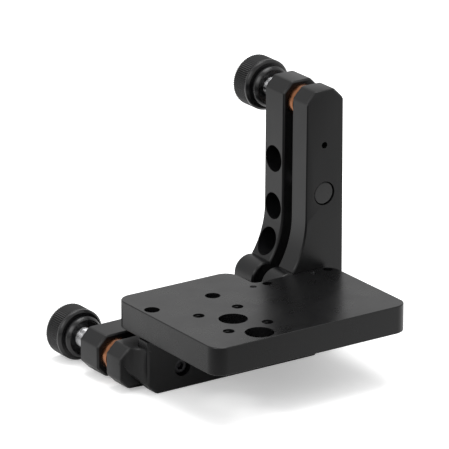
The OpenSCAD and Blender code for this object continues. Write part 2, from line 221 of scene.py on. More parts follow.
@cache
def relief_group(surface: Surface) -> bpy.types.NodeTree:
    """Builds the fine relief of one kind of surface, once.

    Blasted metal has an even grain. Turned metal has the fine rings that a lathe tool leaves
    around an axis along Y.

    Args:
        surface: How the surface was worked.

    Returns:
        A shader group with the relief's height and a slow wander from 0 to 1.
    """
    title, patch_size = surface.value
    graph = new_group(
        title,
        "ShaderNodeTree",
        [
            ("Grain Size", "NodeSocketFloat", DEFAULT_GRAIN),
            ("Patch Size", "NodeSocketFloat", patch_size),
        ],
        [("Height", "NodeSocketFloat"), ("Wander", "NodeSocketFloat")],
    )
    source, target = graph.tree.nodes["Input"], graph.tree.nodes["Output"]
    place = graph.add("ShaderNodeTexCoord").outputs["Object"]
    grain = source.outputs["Grain Size"]
    if surface is Surface.TURNED:
        along = graph.add("ShaderNodeSeparateXYZ", {"Vector": place}).outputs["Y"]
        ring = {"W": graph.math("DIVIDE", along, grain), "Scale": 1.0}
        fine = graph.add("ShaderNodeTexNoise", ring, noise_dimensions="1D")
    else:
        speck = {"Vector": place, "Scale": graph.math("DIVIDE", 1.0, grain), "Detail": 2.0}
        fine = graph.add("ShaderNodeTexNoise", speck)
    slow = graph.math("DIVIDE", 1.0, source.outputs["Patch Size"])
    patch = graph.add("ShaderNodeTexNoise", {"Vector": place, "Scale": slow, "Detail": 3.0})
    graph.feed(target.inputs["Height"], fine.outputs[0])
    graph.feed(target.inputs["Wander"], patch.outputs[0])
    return graph.tree


@dataclass(frozen=True)
class Finish:
    """One finish of the mount's metal.

    Attributes:
        slot: Name of the finish; its material is named after it, with _look added.
        colour: Base colour, linear.
        metallic: 1 for bare metal, 0 for a dyed oxide layer.
        roughness: Mean roughness.
        wander: How far the roughness and the colour's share wander over the surface.
        surface: How the surface was worked.
        grain: Size of the grain.
        relief: Height of the grain.
        specular: Specular level.
    """

    slot: str
    colour: Colour
    metallic: float
    roughness: float
    wander: float = 0.04
    surface: Surface = Surface.BLASTED
    grain: float = DEFAULT_GRAIN
    relief: float = 0.002 * MM
    specular: float = 0.5

    def material(self) -> bpy.types.Material:
        """Builds the material once.

        Returns:
            The material.
        """
        found = bpy.data.materials.get(self.slot + "_look")
        if found:
            return found
        made = bpy.data.materials.new(self.slot + "_look")
        made.use_nodes = True
        graph = Graph(made.node_tree)
        shader = made.node_tree.nodes["Principled BSDF"]
        texture = graph.add("ShaderNodeGroup", node_tree=relief_group(self.surface))
        texture.inputs["Grain Size"].default_value = self.grain
        wander = texture.outputs["Wander"]
        spread = {
            "Value": wander,
            "From Min": NOISE_LOW,
            "From Max": NOISE_HIGH,
            "To Min": self.roughness - self.wander,
            "To Max": self.roughness + self.wander,
        }
        rough = graph.add("ShaderNodeMapRange", spread, clamp=True)
        tint = graph.add("ShaderNodeMix", data_type="RGBA")
        low = [channel * (1 - self.wander) for channel in self.colour]
        high = [channel * (1 + self.wander) for channel in self.colour]
        graph.feed(tint.inputs[0], wander)
        tint.inputs[6].default_value = (*low, 1)
        tint.inputs[7].default_value = (*high, 1)
        height = texture.outputs["Height"]
        bump = graph.add("ShaderNodeBump", {"Height": height, "Distance": self.relief})
        graph.feed(shader.inputs["Base Color"], tint.outputs[2])
        graph.feed(shader.inputs["Roughness"], rough.outputs[0])
        graph.feed(shader.inputs["Normal"], bump.outputs[0])
        shader.inputs["Metallic"].default_value = self.metallic
        shader.inputs["Specular IOR Level"].default_value = self.specular
        return made


BLACK = (0.004, 0.004, 0.0043)
PLATE = Finish("anodised_plate", BLACK, 0.0, 0.33, specular=0.3)
PLATFORM = Finish("anodised_platform", BLACK, 0.0, 0.29, relief=0.0002 * MM, specular=0.32)
KNOB = Finish(
    "anodised_knob", BLACK, 0.0, 0.24, surface=Surface.TURNED, relief=0.0008 * MM, specular=0.45
)
BLACK_SCREW = Finish(
    "black_screw", (0.02, 0.02, 0.022), 0.4, 0.3, surface=Surface.TURNED, relief=0.001 * MM
)
GROUND_STEEL = Finish(
    "ground_steel", (0.7, 0.7, 0.72), 1.0, 0.2, surface=Surface.TURNED, relief=0.0006 * MM
)
BALL_STEEL = Finish("ball_steel", (0.72, 0.72, 0.74), 1.0, 0.07, wander=0.02, relief=0.0)
SEAT_STEEL = Finish("seat_steel", (0.5, 0.5, 0.52), 1.0, 0.3)
BRONZE = Finish(
    "bronze", (0.3, 0.125, 0.06), 1.0, 0.26, surface=Surface.TURNED, relief=0.0012 * MM
)
THREAD_STEEL = Finish("thread_steel", (0.5, 0.5, 0.51), 1.0, 0.16, relief=0.0)
SPRING_STEEL = Finish("spring_steel", (0.62, 0.62, 0.64), 1.0, 0.24, relief=0.0)


# ---------------------------------------------------------------- meshes

ON_AXIS = 1e-7
SMALLEST_CORNER = 1e-6
NEARLY_STRAIGHT = math.radians(170)
SHARE_OF_SIDE = 0.45
MERGE = 0.002 * MM
IN_JOINT = 0.01 * MM
SOFT_EDGE = 0.12 * MM

class Axis(Enum):
    """The direction of a turned part's axis, with the matrix that turns Z to it."""

    X = Matrix.Rotation(math.pi / 2, 4, "Y")
    Y = Matrix.Rotation(-math.pi / 2, 4, "X")
    Z = Matrix.Identity(4)


@dataclass(frozen=True)
class Ring:
    """One station of a turned section.

    Attributes:
        radius: Radius of the ring, or half the width across flats of a hexagon.
        at: Place along the axis.
        hexagon: Whether the ring is a hexagon, as in a key's socket.
    """

    radius: float
    at: float
    hexagon: bool = False

    def reach(self, angle: float) -> float:
        """Distance from the axis to the ring in one direction, given as an angle in radians."""
        if not self.hexagon:
            return self.radius
        side = math.pi / 3
        return self.radius / math.cos(angle % side - side / 2)


def rounded(rings: Sequence[Ring], radius: float, closed: bool, steps: int = 3) -> list[Ring]:
    """Rounds the corners of a turned section.

    Args:
        rings: The section's stations in order.
        radius: Radius of the rounding, in metres.
        closed: Whether the last station joins the first.
        steps: Points on each rounded corner.

    Returns:
        The section with its round corners.
    """
    made = []
    count = len(rings)
    for i, ring in enumerate(rings):
        at_end = not closed and i in (0, count - 1)
        before, after = rings[i - 1], rings[(i + 1) % count]
        if at_end or ring.hexagon or before.hexagon or after.hexagon:
            made.append(ring)
            continue
        corner = Vector((ring.radius, ring.at))
        back = Vector((before.radius, before.at)) - corner
        on = Vector((after.radius, after.at)) - corner
        reach = min(radius, SHARE_OF_SIDE * back.length, SHARE_OF_SIDE * on.length)
        turn = back.angle(on, math.pi)
        if turn > NEARLY_STRAIGHT or reach < SMALLEST_CORNER:
            made.append(ring)
            continue
        start, end = corner + back.normalized() * reach, corner + on.normalized() * reach
        for k in range(steps + 1):
            t = k / steps
            point = start * (1 - t) ** 2 + corner * (2 * t * (1 - t)) + end * t**2
            made.append(Ring(point.x, point.y))
    return made


def add_turned(
    shell: bmesh.types.BMesh,
    rings: Sequence[Ring],
    axis: Axis,
    centre: Vector,
    closed: bool,
    sides: int = 72,
) -> None:
    """Adds a turned solid to a mesh.

    Args:
        shell: The mesh that it is added to.
        rings: The section's stations; those on the axis become one point.
        axis: Direction of its axis.
        centre: A point of the axis from which the stations are measured.
        closed: Whether the section is a closed loop around a bore.
        sides: Number of sides, a multiple of 6.
    """
    matrix = Matrix.Translation(centre) @ axis.value
    loops = []
    for ring in rings:
        if ring.radius < ON_AXIS:
            loops.append([shell.verts.new(matrix @ Vector((0, 0, ring.at)))])
            continue
        loop = []
        for k in range(sides):
            angle = math.tau * k / sides
            reach = ring.reach(angle)
            point = Vector((reach * math.cos(angle), reach * math.sin(angle), ring.at))
            loop.append(shell.verts.new(matrix @ point))
        loops.append(loop)
    for low, high in zip(loops, loops[1:] + ([loops[0]] if closed else []), strict=False):
        for k in range(sides):
            n = (k + 1) % sides
            corners = [low[k % len(low)], low[n % len(low)]]
            corners += [high[n % len(high)], high[k % len(high)]]
            shell.faces.new(list(dict.fromkeys(corners)))


def finished_mesh(shell: bmesh.types.BMesh, name: str, sharp_deg: float = 30) -> bpy.types.Mesh:
    """Writes a built shell to a mesh with outward normals and smooth round faces.

    Args:
        shell: The shell, which is freed.
        name: The mesh's name.
        sharp_deg: Edges that turn more than this stay sharp.

    Returns:
        The mesh.
    """
    bmesh.ops.recalc_face_normals(shell, faces=shell.faces)
    mesh = bpy.data.meshes.new(name)
    shell.to_mesh(mesh)
    shell.free()
    mesh.shade_smooth()
    mesh.set_sharp_from_angle(angle=math.radians(sharp_deg))
    return mesh


def new_object(name: str, data: bpy.types.ID) -> bpy.types.Object:
    """Links a new object that holds a mesh, a curve, a lamp or a camera."""
    made = bpy.data.objects.new(name, data)
    bpy.context.scene.collection.objects.link(made)
    return made


def baked_mesh(source: bpy.types.Object) -> bpy.types.Mesh:
    """Copies an object's mesh as its modifiers shape it."""
    bpy.context.view_layer.update()
    evaluated = source.evaluated_get(bpy.context.evaluated_depsgraph_get())
    return bpy.data.meshes.new_from_object(evaluated)


def show(
    name: str, mesh: bpy.types.Mesh, finish: Finish, nodes: Sequence[str]
) -> bpy.types.Object:
    """Shows a mesh as a piece in place of CAD nodes of one body.

    Args:
        name: The piece's name.
        mesh: The finished mesh, in the part's frame.
        finish: Its finish.
        nodes: The CAD nodes that it stands for, which it hides; the piece joins the first one's
            body.

    Returns:
        The piece.
    """
    mesh.materials.clear()
    mesh.materials.append(finish.material())
    piece = new_object(name, mesh)
    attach(piece, frame["nodes"][nodes[0]]["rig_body"])
    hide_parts(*nodes)
    LOG.info("%s: %d faces for %s", name, len(mesh.polygons), ", ".join(nodes))
    return piece


def turned_piece(
    name: str,
    rings: Sequence[Ring],
    axis: Axis,
    centres: Sequence[Vector],
    finish: Finish,
    nodes: Sequence[str],
    closed: bool = False,
) -> bpy.types.Object:
    """Builds and shows one or more equal turned solids as one piece.

    Args:
        name: The piece's name.
        rings: The section's stations.
        axis: Direction of the axis.
        centres: Where each solid's stations are measured from.
        finish: Its finish.
        nodes: The CAD nodes that it stands for.
        closed: Whether the section is a loop around a bore.

    Returns:
        The piece.
    """
    shell = bmesh.new()
    for centre in centres:
        add_turned(shell, rings, axis, centre, closed)
    return show(name, finished_mesh(shell, name), finish, nodes)


def centre_of(node: str) -> Vector:
    """Middle of a CAD node's box."""
    low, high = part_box(node)
    return (low + high) / 2


def pin_rings(radius: float, length: float, edge: float) -> list[Ring]:
    """Writes the section of a plain pin from 0 up, with round edges."""
    ends = [Ring(0, 0), Ring(radius, 0), Ring(radius, length), Ring(0, length)]
    return rounded(ends, edge, False)


# ---------------------------------------------------------------- repeated shapes


def shape_graph(name: str, sizes: dict[str, float | int | None]) -> Graph:
    """Starts a geometry tree with the inputs Geometry and Material around its sizes.

    Args:
        name: The tree's name.
        sizes: Default of each size: a float, a whole number, or None for a vector.

    Returns:
        The graph of the tree.
    """
    kinds = {float: "NodeSocketFloat", int: "NodeSocketInt", type(None): "NodeSocketVector"}
    inputs = [(title, kinds[type(size)], size) for title, size in sizes.items()]
    inputs.insert(0, ("Geometry", "NodeSocketGeometry", None))
    inputs.append(("Material", "NodeSocketMaterial", None))
    return new_group(name, "GeometryNodeTree", inputs, [("Geometry", "NodeSocketGeometry")])


def end_tree(
    graph: Graph, shape: bpy.types.NodeSocket, joined_to_start: bool = True
) -> bpy.types.NodeTree:
    """Ends a geometry tree with plain dressed meshes.

    Args:
        graph: The tree, as shape_graph starts it.
        shape: The shape that it has made.
        joined_to_start: Whether the shape is joined to the mesh that the tree starts from.

    Returns:
        The tree.
    """
    source = graph.tree.nodes["Input"].outputs
    if joined_to_start:
        joined = graph.add("GeometryNodeJoinGeometry")
        graph.feed(joined.inputs[0], shape)
        graph.feed(joined.inputs[0], source["Geometry"])
        shape = joined.outputs[0]
    plain = graph.add("GeometryNodeRealizeInstances", {"Geometry": shape})
    dressed = graph.add(
        "GeometryNodeSetMaterial", {"Geometry": plain.outputs[0], "Material": source["Material"]}
    )
    graph.feed(graph.tree.nodes["Output"].inputs["Geometry"], dressed.outputs[0])
    return graph.tree


@cache
def thread_tree() -> bpy.types.NodeTree:
    """Builds the tree that winds a thread's ridge around an axis along Z, from the origin up.

    Returns:
        A geometry tree that joins the ridge to the mesh it starts from.
    """
    graph = shape_graph(
        "Thread",
        {
            "Pitch": 0.3175 * MM,
            "Ridge Radius": 3 * MM,
            "Ridge Height": 0.15 * MM,
            "Length": 5 * MM,
            "Steps": 48,
            "Start": None,
            "Turn": None,
        },
    )
    source = graph.tree.nodes["Input"].outputs
    turns = graph.math("DIVIDE", source["Length"], source["Pitch"])
    spiral = graph.add(
        "GeometryNodeCurveSpiral",
        {
            "Resolution": source["Steps"],
            "Rotations": turns,
            "Start Radius": source["Ridge Radius"],
            "End Radius": source["Ridge Radius"],
            "Height": source["Length"],
        },
    )
    upright = graph.add("GeometryNodeSetCurveNormal", {"Curve": spiral.outputs[0]}, mode="Z_UP")
    ridge = graph.add(
        "GeometryNodeCurvePrimitiveCircle", {"Resolution": 4, "Radius": source["Ridge Height"]}
    )
    swept = graph.add(
        "GeometryNodeCurveToMesh",
        {"Curve": upright.outputs[0], "Profile Curve": ridge.outputs[0], "Fill Caps": True},
    )
    turn = graph.add("FunctionNodeEulerToRotation", {"Euler": source["Turn"]})
    placed = graph.add(
        "GeometryNodeTransform",
        {"Geometry": swept.outputs[0], "Translation": source["Start"], "Rotation": turn.outputs[0]},
    )
    return end_tree(graph, placed.outputs[0])


@cache
def knurl_tree() -> bpy.types.NodeTree:
    """Builds the tree that sets straight ridges around a knob.

    The ridges near the set screw's hole start behind it.

    Returns:
        A geometry tree that joins the ridges to the knob's turned body.
    """
    graph = shape_graph(
        "Knurl",
        {
            "Ridges": 75,
            "Root Radius": 7.2 * MM,
            "Ridge Height": 0.3 * MM,
            "Length": 5 * MM,
            "Short Length": 4 * MM,
            "Short Ridges": 3,
            "End Share": 0.05,
            "Rear": None,
        },
    )
    source = graph.tree.nodes["Input"].outputs
    circle = graph.add(
        "GeometryNodeMeshCircle", {"Vertices": source["Ridges"], "Radius": source["Root Radius"]}
    )
    bar = graph.add(
        "GeometryNodeMeshCylinder",
        {"Vertices": 4, "Side Segments": 3, "Radius": source["Ridge Height"], "Depth": 1.0},
    )
    # The bar's two end rings shrink and move out, so that each ridge runs out to a point.
    place = graph.add("GeometryNodeInputPosition").outputs[0]
    parts = graph.add("ShaderNodeSeparateXYZ", {"Vector": place})
    height = graph.math("ABSOLUTE", parts.outputs["Z"])
    at_end = graph.math("GREATER_THAN", height, 0.4)
    slim = graph.math("SUBTRACT", 1.0, graph.math("MULTIPLY", at_end, 0.85))
    full_z = graph.math("MULTIPLY", graph.math("SIGN", parts.outputs["Z"]), 0.5)
    inner_z = graph.math("MULTIPLY", full_z, graph.math("SUBTRACT", 1.0, source["End Share"]))
    z = graph.add("ShaderNodeMix", {"Factor": at_end}, data_type="FLOAT")
    graph.feed(z.inputs[2], inner_z)
    graph.feed(z.inputs[3], full_z)
    x = graph.math("MULTIPLY", parts.outputs["X"], slim)
    y = graph.math("MULTIPLY", parts.outputs["Y"], slim)
    below = graph.math("SUBTRACT", z.outputs[0], 0.5)
    pointed = graph.add("ShaderNodeCombineXYZ", {"X": x, "Y": y, "Z": below})
    shaped = graph.add(
        "GeometryNodeSetPosition", {"Geometry": bar.outputs["Mesh"], "Position": pointed.outputs[0]}
    )
    index = graph.add("GeometryNodeInputIndex").outputs[0]
    step = graph.math("DIVIDE", math.tau, source["Ridges"])
    angle = graph.math("MULTIPLY", index, step)
    turn = graph.add("ShaderNodeCombineXYZ", {"Z": angle})
    rotation = graph.add("FunctionNodeEulerToRotation", {"Euler": turn.outputs[0]})
    from_zero = graph.math("MINIMUM", index, graph.math("SUBTRACT", source["Ridges"], index))
    near_hole = graph.math("LESS_THAN", from_zero, graph.math("ADD", source["Short Ridges"], 0.5))
    length = graph.add("ShaderNodeMix", {"Factor": near_hole}, data_type="FLOAT")
    graph.feed(length.inputs[2], source["Length"])
    graph.feed(length.inputs[3], source["Short Length"])
    scale = graph.add("ShaderNodeCombineXYZ", {"X": 1.0, "Y": 1.0, "Z": length.outputs[0]})
    ridges = graph.add(
        "GeometryNodeInstanceOnPoints",
        {
            "Points": circle.outputs[0],
            "Instance": shaped.outputs[0],
            "Rotation": rotation.outputs[0],
            "Scale": scale.outputs[0],
        },
    )
    placed = graph.add(
        "GeometryNodeTransform", {"Geometry": ridges.outputs[0], "Translation": source["Rear"]}
    )
    placed.inputs["Rotation"].default_value = (-math.pi / 2, 0, 0)
    return end_tree(graph, placed.outputs[0])


@cache
def wire_tree() -> bpy.types.NodeTree:
    """Builds the tree that makes round wire of a curve.

    Returns:
        A geometry tree that starts from a curve's line.
    """
    graph = shape_graph("Wire", {"Wire Radius": 0.35 * MM, "Sides": 10})
    source = graph.tree.nodes["Input"].outputs
    profile = graph.add(
        "GeometryNodeCurvePrimitiveCircle",
        {"Resolution": source["Sides"], "Radius": source["Wire Radius"]},
    )
    swept = graph.add(
        "GeometryNodeCurveToMesh",
        {"Curve": source["Geometry"], "Profile Curve": profile.outputs[0], "Fill Caps": True},
    )
    return end_tree(graph, swept.outputs[0], joined_to_start=False)


# ---------------------------------------------------------------- sub-assemblies


@dataclass
class MilledPart:
    """A milled part: a copy of its CAD solid with broken edges.

    Attributes:
        node: The CAD node.
        finish: Its finish.
        edge: Width of the bevel along its outer edges.
        rim_span: A loop of edges no larger than this is a hole's rim.
        joint_at: Edges that lie at this height meet another part, and stay unbroken.
        profile: Shape of the bevel, from 0.25 for flat to 0.5 for round.
        sharp: Edges that turn less than this are part of a curved face.
    """

    node: str
    finish: Finish
    edge: float = 0.5 * MM
    rim_span: float = 11 * MM
    joint_at: float = math.inf
    profile: float = 0.35
    sharp: float = math.radians(20)

    def build(self) -> bpy.types.Object:
        """Bevels the copy and shows it in place of the CAD node.

        Returns:
            The piece.
        """
        shell = bmesh.new()
        shell.from_mesh(frame["nodes"][self.node].data)
        bmesh.ops.remove_doubles(shell, verts=shell.verts, dist=MERGE)
        self._weigh_edges(shell)
        mesh = bpy.data.meshes.new(self.node + "_body")
        shell.to_mesh(mesh)
        shell.free()
        if "custom_normal" in mesh.attributes:
            mesh.attributes.remove(mesh.attributes["custom_normal"])
        draft = new_object(self.node + "_draft", mesh)
        bevel = draft.modifiers.new("Edges", "BEVEL")
        bevel.limit_method = "WEIGHT"
        bevel.width = self.edge
        bevel.segments = 2
        bevel.profile = self.profile
        bevel.use_clamp_overlap = False
        bevel.miter_outer = "MITER_ARC"
        baked = baked_mesh(draft)
        bpy.data.objects.remove(draft)
        baked.shade_smooth()
        baked.set_sharp_from_angle(angle=self.sharp)
        baked.name = self.node + "_body"
        return show(self.node + "_body", baked, self.finish, [self.node])

    def _weigh_edges(self, shell: bmesh.types.BMesh) -> None:
        """Gives outer edges the bevel and leaves the rims of holes as they are.

        Args:
            shell: The merged copy.
        """
        layer = shell.edges.layers.float.new("bevel_weight_edge")
        corners = {e for e in shell.edges if e.calc_face_angle_signed(0) > self.sharp}
        left = set(corners)
        while left:
            loop, queue = set(), [left.pop()]
            while queue:
                edge = queue.pop()
                loop.add(edge)
                for vertex in edge.verts:
                    for other in vertex.link_edges:
                        if other in left:
                            left.discard(other)
                            queue.append(other)
            points = [v.co for e in loop for v in e.verts]
            span = max(max(p[k] for p in points) - min(p[k] for p in points) for k in range(3))
            weight = 0.0 if span < self.rim_span else 1.0
            for edge in loop:
                in_joint = all(abs(v.co.z - self.joint_at) < IN_JOINT for v in edge.verts)
                edge[layer] = 0.0 if in_joint else weight


@dataclass
class Adjuster:
    """A fine adjuster: bushing, threaded screw, tip ball, knob and set screw.

    Its place, its radii and its lengths are read from the CAD solids. The fields hold the details
    that those solids leave out.

    Attributes:
        side: Name of its nodes' first word, upper or left.
        pitch: The thread's pitch.
        ball_gap: Gap between the ball and its hollow in the screw.
        land: Plain length between the knob's chamfer and its knurl.
        flange_step: How far the bushing's flange stands out.
        groove, groove_depth: The groove between the collar and the knob.
        ridges: Number of ridges in the knurl.
    """

    side: str
    pitch: float = 0.3175 * MM
    ball_radius: float = 2.5 * MM
    ball_gap: float = 0.02 * MM
    nose_behind_ball: float = 1.1 * MM
    nose_length: float = 1.0 * MM
    nose_taper: float = 0.425 * MM
    key_across: float = 2.0 * MM
    key_depth: float = 3.0 * MM
    collar_radius: float = 6.0 * MM
    collar_length: float = 2.4 * MM
    rim_chamfer: float = 0.7 * MM
    land: float = 0.95 * MM
    flange_step: float = 0.2 * MM
    recess_radius: float = 4.8 * MM
    recess_depth: float = 0.5 * MM
    groove: float = 0.35 * MM
    groove_depth: float = 0.35 * MM
    ridges: int = 75
    rear_edge: float = 0.4 * MM
    bore_gap: float = 0.05 * MM
    bore_edge: float = 0.25 * MM
    mouth: float = 0.3 * MM
    screw_edge: float = 0.4 * MM
    thread_end_gap: float = 0.6 * MM
    collar_edge: float = 0.7 * MM
    lip: float = 0.15 * MM
    ridge_end: float = 0.08
    grub_half_across: float = 0.45 * MM

    def __post_init__(self) -> None:
        """Reads the axis and the lengths from the CAD solids."""
        self.axis_point = centre_of(self.side + "_tip_ball")
        low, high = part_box(self.side + "_screw")
        self.screw_radius = (high.x - low.x) / 2
        self.screw_end = high.y
        low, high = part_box(self.side + "_knob")
        self.knob_front, self.knob_rear = low.y, high.y
        self.knob_radius = (high.z - low.z) / 2

    def _from_axis(self, y: float) -> Vector:
        """A point on the adjuster's axis."""
        return Vector((self.axis_point.x, y, self.axis_point.z))

    def build(self) -> None:
        """Builds all its pieces."""
        self._bushing()
        ball_piece(self.side + "_tip", self.side + "_tip_ball")
        self._screw()
        self._knob()
        self._set_screw()

    def _bushing(self) -> None:
        """Builds the flanged bronze bushing."""
        node = self.side + "_bushing"
        low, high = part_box(node)
        flange_radius = (high.x - low.x) / 2
        bore = self.screw_radius + self.bore_gap
        body_radius = flange_radius - self.flange_step
        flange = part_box("back_plate")[0].y - low.y
        length = high.y - low.y
        rings = [
            Ring(bore, self.bore_edge),
            Ring(bore + self.bore_edge, 0),
            Ring(flange_radius, 0),
            Ring(flange_radius, flange),
            Ring(body_radius, flange),
            Ring(body_radius, length),
            Ring(bore + self.mouth, length),
            Ring(bore, length - self.mouth),
        ]
        turned_piece(
            self.side + "_bronze_bushing", rounded(rings, SOFT_EDGE, True), Axis.Y,
            [self._from_axis(low.y)], BRONZE, [node], closed=True,
        )

    def _screw(self) -> None:
        """Builds the threaded screw with the hollow for its ball and its key's socket."""
        node = self.side + "_screw"
        hollow = self.ball_radius + self.ball_gap
        steep = math.acos(self.nose_behind_ball / hollow)
        steps = 6
        rings = [
            Ring(hollow * math.sin(steep * k / steps), hollow * math.cos(steep * k / steps))
            for k in range(steps + 1)
        ]
        start = self.nose_behind_ball
        end = self.screw_end - self.axis_point.y
        core = self.screw_radius - self.pitch / 2
        rings += [
            Ring(self.screw_radius - self.nose_taper, start),
            Ring(core, start + self.nose_length),
            Ring(core, end - 0.5 * MM),
            Ring(core - self.screw_edge, end),
            Ring(self.key_across / 2 + self.lip, end),
            Ring(self.key_across / 2, end - 0.1 * MM, hexagon=True),
            Ring(self.key_across / 2, end - self.key_depth, hexagon=True),
            Ring(0, end - self.key_depth - self.screw_edge),
        ]
        shell = bmesh.new()
        add_turned(shell, rings, Axis.Y, self._from_axis(self.axis_point.y), False)
        base = new_object(node + "_core", finished_mesh(shell, node + "_core"))
        first = start + self.nose_length + self.pitch / 2
        mesh = run_tree(
            thread_tree(),
            base,
            {
                "Pitch": self.pitch,
                "Ridge Radius": core,
                "Ridge Height": self.pitch / 2,
                "Length": end - self.thread_end_gap - first,
                "Steps": 48,
                "Start": self._from_axis(self.axis_point.y + first),
                "Turn": (-math.pi / 2, 0, 0),
                "Material": THREAD_STEEL.material(),
            },
        )
        show(self.side + "_threaded_screw", mesh, THREAD_STEEL, [node])

    def _knob(self) -> None:
        """Builds the knurled knob with the set screw's hole."""
        node = self.side + "_knob"
        length = self.knob_rear - self.knob_front
        top = self.knob_radius
        ridge_height = math.pi * top / self.ridges
        root = top - ridge_height
        rim = self.collar_length + self.rim_chamfer
        knurl_start = rim + self.land
        rings = [
            Ring(self.screw_radius, self.recess_depth),
            Ring(self.recess_radius, self.recess_depth),
            Ring(self.recess_radius, self.lip),
            Ring(self.recess_radius + self.lip, 0),
            Ring(self.collar_radius - self.collar_edge, 0),
            Ring(self.collar_radius, 0.9 * MM),
            Ring(self.collar_radius, self.collar_length - self.groove),
            Ring(self.collar_radius - self.groove_depth, self.collar_length - self.groove),
            Ring(self.collar_radius - self.groove_depth, self.collar_length),
            Ring(top - self.rim_chamfer, self.collar_length),
            Ring(top, rim),
            Ring(top, knurl_start - ridge_height),
            Ring(root, knurl_start),
            Ring(root, length - self.rear_edge),
            Ring(root - self.rear_edge, length),
            Ring(self.screw_radius + 0.6 * MM, length),
            Ring(self.screw_radius, length - self.mouth),
        ]
        shell = bmesh.new()
        start = self._from_axis(self.knob_front)
        add_turned(shell, rounded(rings, SOFT_EDGE, True, 2), Axis.Y, start, True, 96)
        base = new_object(node + "_core", finished_mesh(shell, node + "_core"))
        low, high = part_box(self.side + "_set_screw")
        hole_radius = (high.z - low.z) / 2
        hole_y = (low.y + high.y) / 2
        cut_hole(base, self._from_axis(hole_y), hole_radius, 2 * top)
        behind_hole = hole_y + hole_radius + 0.1 * MM
        rear = self.knob_rear - self.lip
        mesh = run_tree(
            knurl_tree(),
            base,
            {
                "Ridges": self.ridges,
                "Root Radius": root,
                "Ridge Height": ridge_height,
                "Length": rear - self.knob_front - knurl_start + 0.1 * MM,
                "Short Length": rear - behind_hole,
                "Short Ridges": math.ceil(hole_radius / (math.tau * top / self.ridges)),
                "End Share": self.ridge_end,
                "Rear": self._from_axis(rear),
                "Material": KNOB.material(),
            },
        )
        show(self.side + "_knurled_knob", mesh, KNOB, [node])

    def _set_screw(self) -> None:
        """Builds the small set screw in the knob's side."""
        node = self.side + "_set_screw"
        low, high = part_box(node)
        radius = (high.z - low.z) / 2
        length = high.x - low.x
        rings = [
            Ring(0, 0),
            Ring(radius - self.bore_edge, 0),
            Ring(radius, self.bore_edge),
            Ring(radius, length - self.lip),
            Ring(radius - self.lip, length),
            Ring(self.grub_half_across + self.lip, length),
            Ring(self.grub_half_across, length - 0.1 * MM, hexagon=True),
            Ring(self.grub_half_across, length - 1.0 * MM, hexagon=True),
            Ring(0, length - 1.1 * MM),
        ]
        middle = centre_of(node)
        centre = Vector((low.x, middle.y, middle.z))
        turned_piece(self.side + "_grub_screw", rings, Axis.X, [centre], BLACK_SCREW, [node])


def cut_hole(base: bpy.types.Object, centre: Vector, radius: float, reach: float) -> None:
    """Drills a hole along +X into an object's mesh.

    Args:
        base: The object that is drilled.
        centre: Where the drill's axis starts.
        radius: The hole's radius.
        reach: How far the drill goes along +X.
    """
    shell = bmesh.new()
    rings = [Ring(0, 0), Ring(radius, 0), Ring(radius, reach), Ring(0, reach)]
    add_turned(shell, rings, Axis.X, centre, False, 36)
    drill = new_object("drill", finished_mesh(shell, "drill"))
    cut = base.modifiers.new("Hole", "BOOLEAN")
    cut.operation = "DIFFERENCE"
    cut.solver = "EXACT"
    cut.object = drill
    drilled = baked_mesh(base)
    base.modifiers.remove(cut)
    base.data = drilled
    drilled.set_sharp_from_angle(angle=math.radians(30))
    bpy.data.objects.remove(drill)


def ball_piece(name: str, node: str) -> bpy.types.Object:
    """Builds a polished steel ball in place of a CAD one.

    Args:
        name: The piece's name.
        node: The CAD ball.

    Returns:
        The piece.
    """
    low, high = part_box(node)
    radius = (high.x - low.x) / 2
    steps = 24
    rings = [
        Ring(radius * math.sin(math.pi * k / steps), -radius * math.cos(math.pi * k / steps))
        for k in range(steps + 1)
    ]
    name += "_polished_ball"
    return turned_piece(name, rings, Axis.Y, [centre_of(node)], BALL_STEEL, [node])


